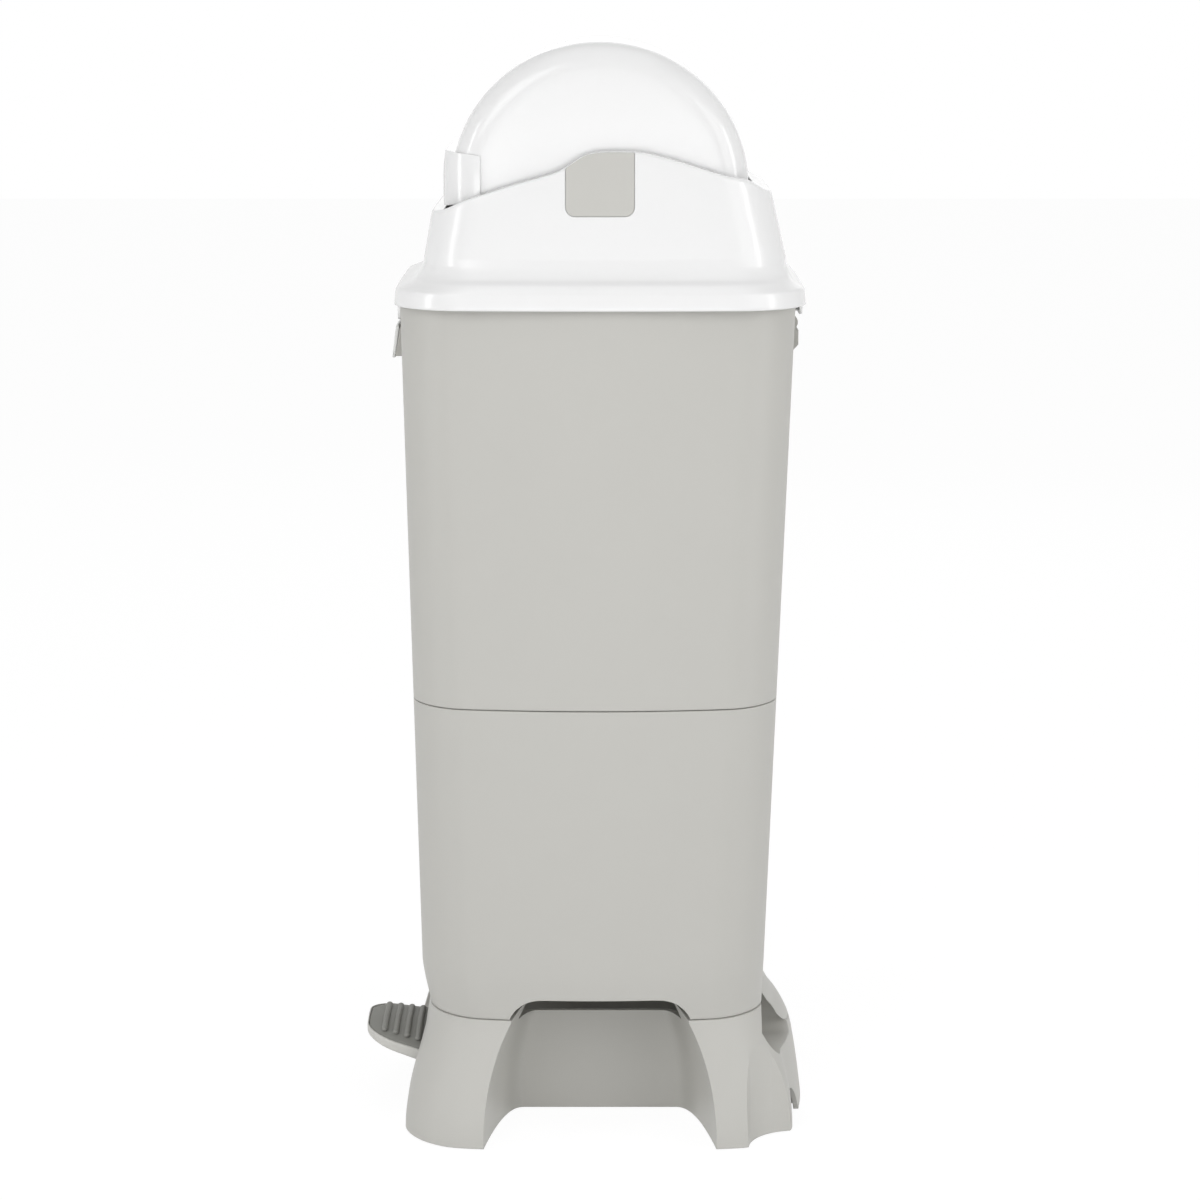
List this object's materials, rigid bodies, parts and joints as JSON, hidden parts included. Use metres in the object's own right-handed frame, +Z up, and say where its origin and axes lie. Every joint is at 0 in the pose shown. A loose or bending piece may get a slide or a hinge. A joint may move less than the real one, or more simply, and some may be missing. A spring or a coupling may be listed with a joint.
{
  "type": "pedal nappy bin",
  "caption": "Tall hands-free nappy bin with a pedal on four feet, a hinged latched head and a domed lid that rolls back over its axle.",
  "frame": {"origin": "on the floor, under the middle of the base, in the plane of the dome axle", "axes": "+Z up, the longest way; -Y is the front, with the pedal and the latch; +X is across the bin, the shortest way"},
  "size_m": [0.2532, 0.2949, 0.7119],
  "materials": {
    "body_grey": "fine matt moulded plastic, warm light grey",
    "latch_grey": "fine matt moulded plastic, warm light grey",
    "pedal_grey": "matt moulded plastic, light grey",
    "pad_grey": "soft-touch ribbed tread, mid grey",
    "inner_grey": "matt moulded plastic, light grey",
    "rubber": "matt black rubber",
    "steel": "zinc-plated steel",
    "rod_steel": "drawn steel rod",
    "spring_steel": "spring steel wire",
    "nylon": "self-lubricating nylon, natural white",
    "cassette_white": "matt moulded plastic, white",
    "film": "pleated plastic film, milky",
    "cutter_white": "moulded plastic, white",
    "head_white": "satin moulded plastic, white",
    "frame_white": "matt moulded plastic, off-white",
    "chute_white": "smooth moulded plastic, off-white",
    "lever_white": "satin moulded plastic, white",
    "dome_white": "satin to gloss moulded plastic, white",
    "grip_white": "satin moulded plastic, white",
    "badge_grey": "satin bare plate, light grey",
    "flap_white": "matt moulded plastic, white"
  },
  "bodies": {
    "root": {"base_shell": "body_grey", "foot_pads": "rubber", "base_screws": "steel", "lower_body": "body_grey", "upper_body": "body_grey", "joint_screws": "steel", "pedal_shaft": "steel", "pedal_spring": "spring_steel", "rod_cover": "inner_grey", "rod_guide": "inner_grey", "film_shelf": "inner_grey", "film_cartridge": "cassette_white", "film_pack": "film", "film_cutter": "cutter_white", "latch_housing": "latch_grey", "latch_pin": "steel", "latch_spring": "spring_steel", "hinge_bracket": "latch_grey", "hinge_pin": "steel", "body_seal": "rubber"},
    "pedal": {"pedal_arm": "pedal_grey", "pedal_pad": "pad_grey", "pedal_roller": "nylon", "roller_pin": "steel"},
    "rod": {"push_rod": "rod_steel", "rod_foot": "nylon", "rod_tip": "nylon"},
    "head": {"head_shell": "head_white", "head_frame": "frame_white", "hinge_leaf": "head_white", "head_screws": "steel", "latch_striker": "frame_white", "chute": "chute_white", "badge_left": "badge_grey", "badge_right": "badge_grey", "gear_plate": "frame_white", "rocker_pin": "steel", "flap_pins": "steel", "dome_spring": "spring_steel"},
    "latch": {"latch_lever": "lever_white"},
    "dome": {"dome_lid": "dome_white", "dome_grip": "grip_white", "dome_pins": "steel", "dome_pinion": "nylon"},
    "rocker": {"rocker": "nylon"},
    "flap_front": {"flap_front": "flap_white", "flap_front_lip": "rubber"},
    "flap_rear": {"flap_rear": "flap_white", "flap_rear_lip": "rubber"}
  },
  "joints": [
    {"name": "pedal_tilt", "type": "hinge", "parent": "root", "child": "pedal", "pos_m": [0, -0.02, 0.03], "axis": [1, 0, 0], "range_deg": [0, 14.64], "stiffness_Nm_per_rad": 2.5, "springref_deg": -20.05},
    {"name": "rod_lift", "type": "slide", "parent": "root", "child": "rod", "axis": [0, 0, 1], "range_m": [0, 0.0302]},
    {"name": "head_swing", "type": "hinge", "parent": "root", "child": "head", "pos_m": [0, 0.123, 0.529], "axis": [-1, 0, 0], "range_deg": [0, 80]},
    {"name": "latch_pull", "type": "hinge", "parent": "root", "child": "latch", "pos_m": [0, -0.123, 0.526], "axis": [-1, 0, 0], "range_deg": [0, 18], "stiffness_Nm_per_rad": 0.25, "springref_deg": -17.19},
    {"name": "rocker_tilt", "type": "hinge", "parent": "head", "child": "rocker", "pos_m": [0, 0.03, 0.5736], "axis": [1, 0, 0], "range_deg": [0, 25.01]},
    {"name": "dome_roll", "type": "hinge", "parent": "head", "child": "dome", "pos_m": [0, 0, 0.6185], "axis": [-1, 0, 0], "range_deg": [0, 65.02]},
    {"name": "flap_front_drop", "type": "hinge", "parent": "head", "child": "flap_front", "pos_m": [0, -0.0735, 0.524], "axis": [-1, 0, 0], "range_deg": [0, 80], "stiffness_Nm_per_rad": 0.03, "springref_deg": -34.38},
    {"name": "flap_rear_drop", "type": "hinge", "parent": "head", "child": "flap_rear", "pos_m": [0, 0.0275, 0.524], "axis": [1, 0, 0], "range_deg": [0, 80], "stiffness_Nm_per_rad": 0.03, "springref_deg": -34.38}
  ],
  "couplings": [
    {"joint": "rod_lift", "follows": "pedal_tilt", "m_per_rad": 0.118},
    {"joint": "rocker_tilt", "follows": "pedal_tilt", "ratio": 1.7077},
    {"joint": "dome_roll", "follows": "pedal_tilt", "ratio": 4.44}
  ]
}
